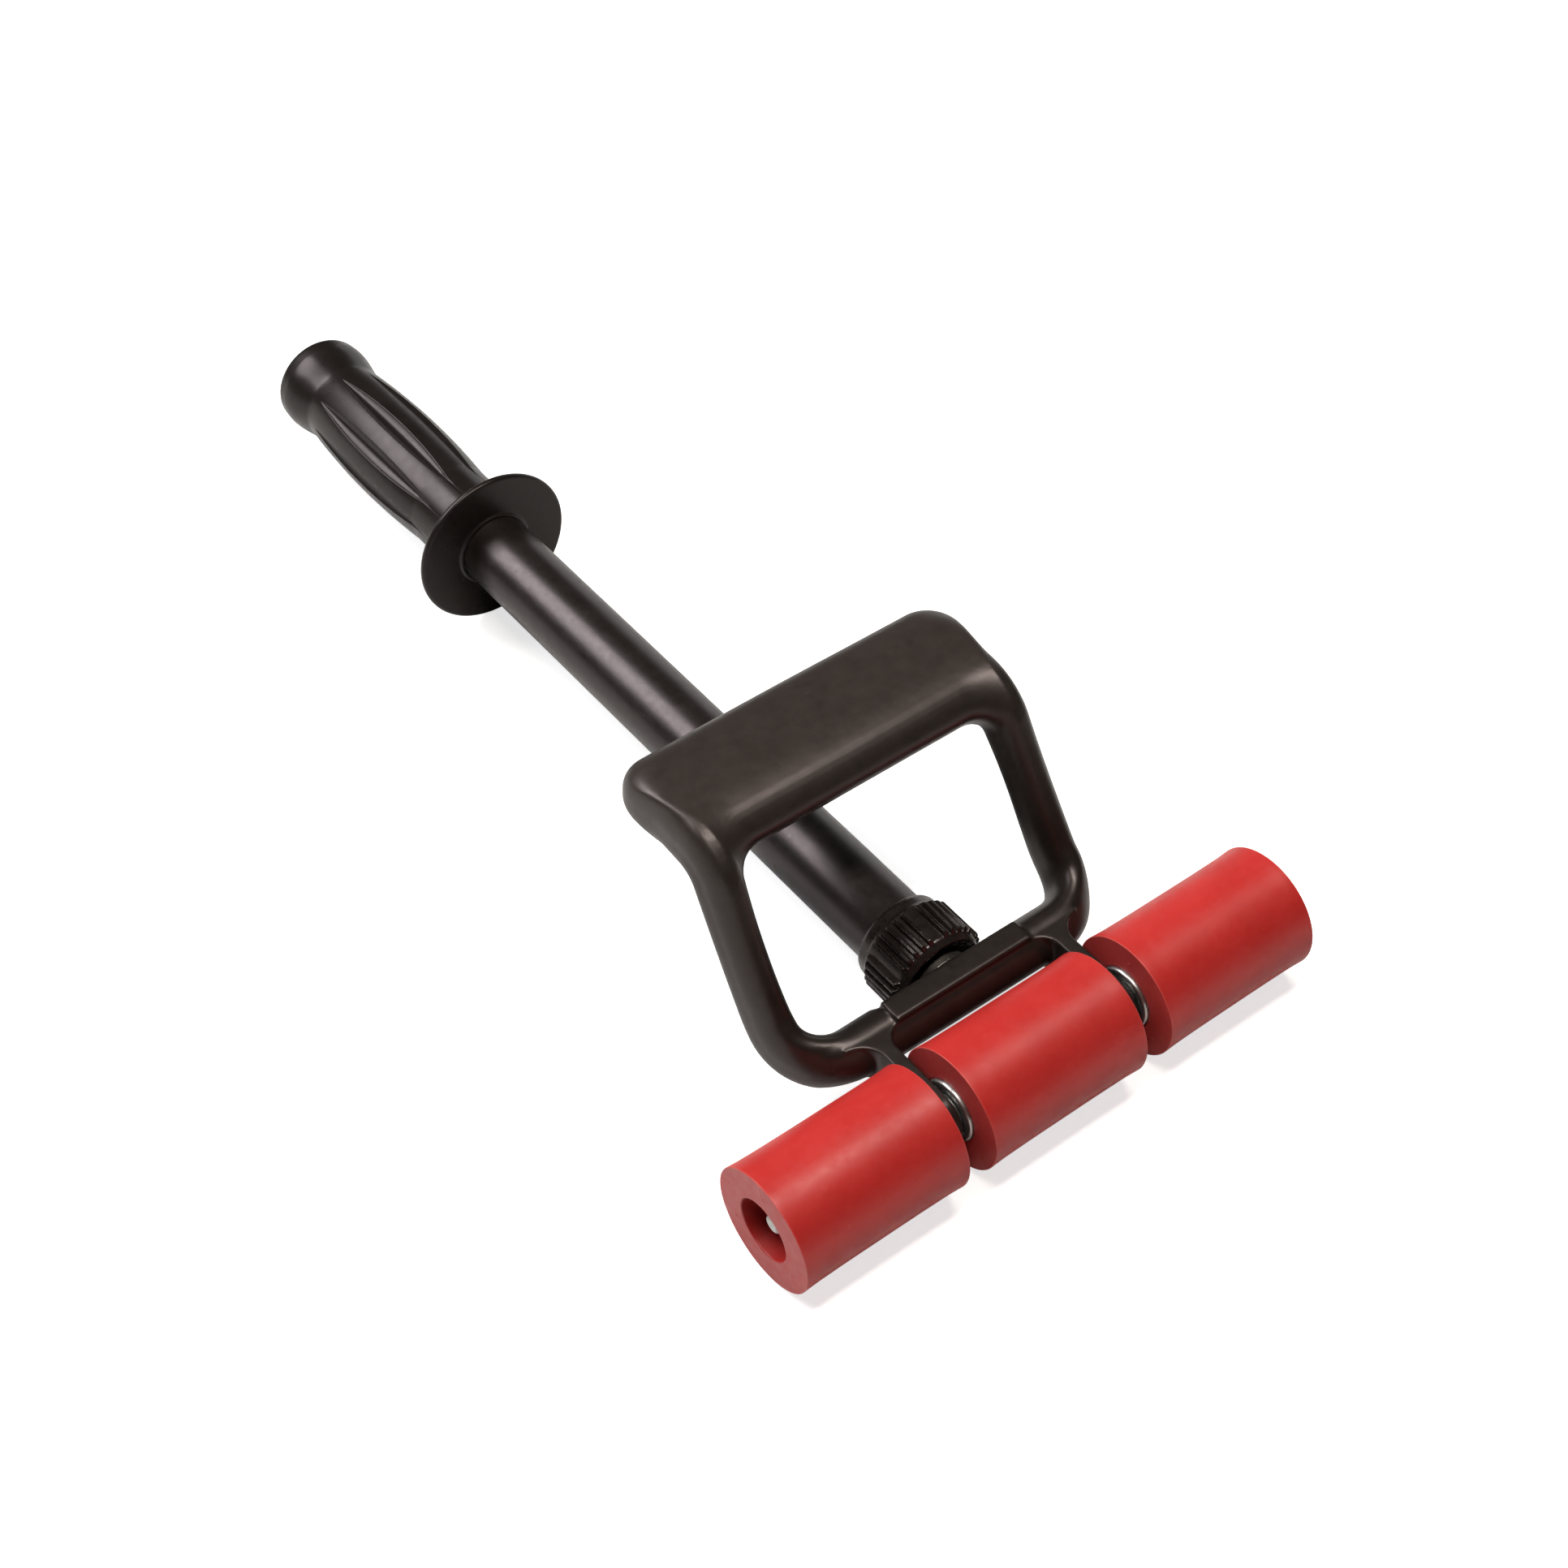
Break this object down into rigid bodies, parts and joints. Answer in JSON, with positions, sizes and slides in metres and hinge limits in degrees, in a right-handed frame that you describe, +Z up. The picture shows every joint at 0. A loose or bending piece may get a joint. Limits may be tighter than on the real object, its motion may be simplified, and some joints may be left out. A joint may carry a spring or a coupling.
{
  "type": "hand-held pressure roller",
  "caption": "Telescoping hand roller with soft red rollers on one axle, a black D-handle casting, a twist-lock tube and a flanged grip, for pressing seams and sheet flooring.",
  "frame": {"origin": "centre of the roller axle, in the middle of the middle roller", "axes": "+X along the axle, +Y along the telescoping tube towards the grip, +Z up towards the palm bar of the D-handle"},
  "size_m": [0.19, 0.4189, 0.0926],
  "materials": {
    "casting": "satin warm black coating over a casting",
    "inner_steel": "dark greased steel",
    "bright_steel": "bright plated steel",
    "spring_steel": "dark spring steel",
    "nylon": "natural nylon",
    "roller_rubber": "smooth satin red elastomer",
    "tube_paint": "satin black coated tube with fine scuffs",
    "collar_plastic": "black moulded plastic",
    "grip_vinyl": "glossy black dipped vinyl"
  },
  "bodies": {
    "frame": {"handle_casting": "casting", "inner_tube": "inner_steel", "tube_pin": "bright_steel", "tube_guide": "nylon", "axle": "bright_steel", "thrust_washers": "bright_steel", "axle_retainers": "spring_steel"},
    "left_wheel": {"left_roller": "roller_rubber", "left_roller_bearings": "bright_steel", "left_roller_spacer": "spring_steel"},
    "middle_wheel": {"middle_roller": "roller_rubber", "middle_roller_bearings": "bright_steel", "middle_roller_spacer": "spring_steel"},
    "right_wheel": {"right_roller": "roller_rubber", "right_roller_bearings": "bright_steel", "right_roller_spacer": "spring_steel"},
    "handle": {"outer_tube": "tube_paint", "lock_bush": "collar_plastic", "grip": "grip_vinyl", "tube_plug": "collar_plastic"},
    "collet": {"lock_collet": "collar_plastic"},
    "collar": {"lock_collar": "collar_plastic"}
  },
  "joints": [
    {"name": "left_roll", "type": "hinge", "parent": "frame", "child": "left_wheel", "pos_m": [0, 0, 0], "axis": [1, 0, 0], "continuous": true},
    {"name": "middle_roll", "type": "hinge", "parent": "frame", "child": "middle_wheel", "pos_m": [0, 0, 0], "axis": [1, 0, 0], "continuous": true},
    {"name": "right_roll", "type": "hinge", "parent": "frame", "child": "right_wheel", "pos_m": [0, 0, 0], "axis": [1, 0, 0], "continuous": true},
    {"name": "handle_slide", "type": "slide", "parent": "frame", "child": "handle", "axis": [0, 1, 0], "range_m": [0, 0.254]},
    {"name": "lock_feed", "type": "slide", "parent": "handle", "child": "collet", "axis": [0, -1, 0], "range_m": [0, 0.00075]},
    {"name": "lock_turn", "type": "hinge", "parent": "collet", "child": "collar", "pos_m": [0, 0, 0], "axis": [0, 1, 0], "range_deg": [0, 180]}
  ],
  "couplings": [
    {"joint": "lock_turn", "follows": "lock_feed", "rad_per_m": 4188.8}
  ]
}
